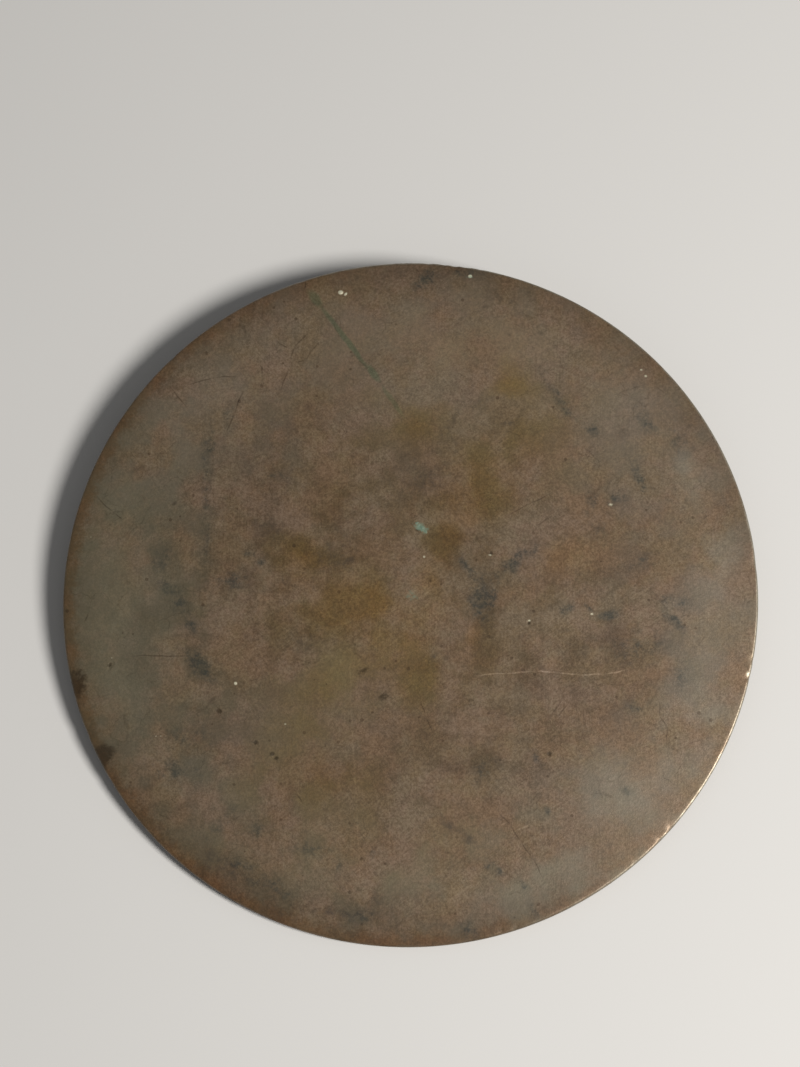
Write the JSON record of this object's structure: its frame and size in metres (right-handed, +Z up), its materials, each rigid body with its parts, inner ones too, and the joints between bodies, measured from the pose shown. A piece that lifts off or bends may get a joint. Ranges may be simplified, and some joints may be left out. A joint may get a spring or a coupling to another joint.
{
  "type": "ancient bronze mirror",
  "caption": "Thin round cast bronze mirror with a plain patinated face, a low raised rim on its back and a small pierced knob, lying face up on its knob and rim.",
  "frame": {"origin": "middle of the underside of the mirror as it lies, on the surface that it lies on", "axes": "+Z up; the polished face looks up and leans about 4 degrees towards -Y, where the rim touches the surface; the passage through the knob runs along Y"},
  "size_m": [0.145, 0.1446, 0.0119],
  "materials": {
    "patinated_bronze": "satin brown patina over cast high-tin bronze, with greenish, ochre and blue-grey stains and a brighter worn edge"
  },
  "bodies": {
    "root": {"bronze_mirror": "patinated_bronze"}
  },
  "joints": []
}
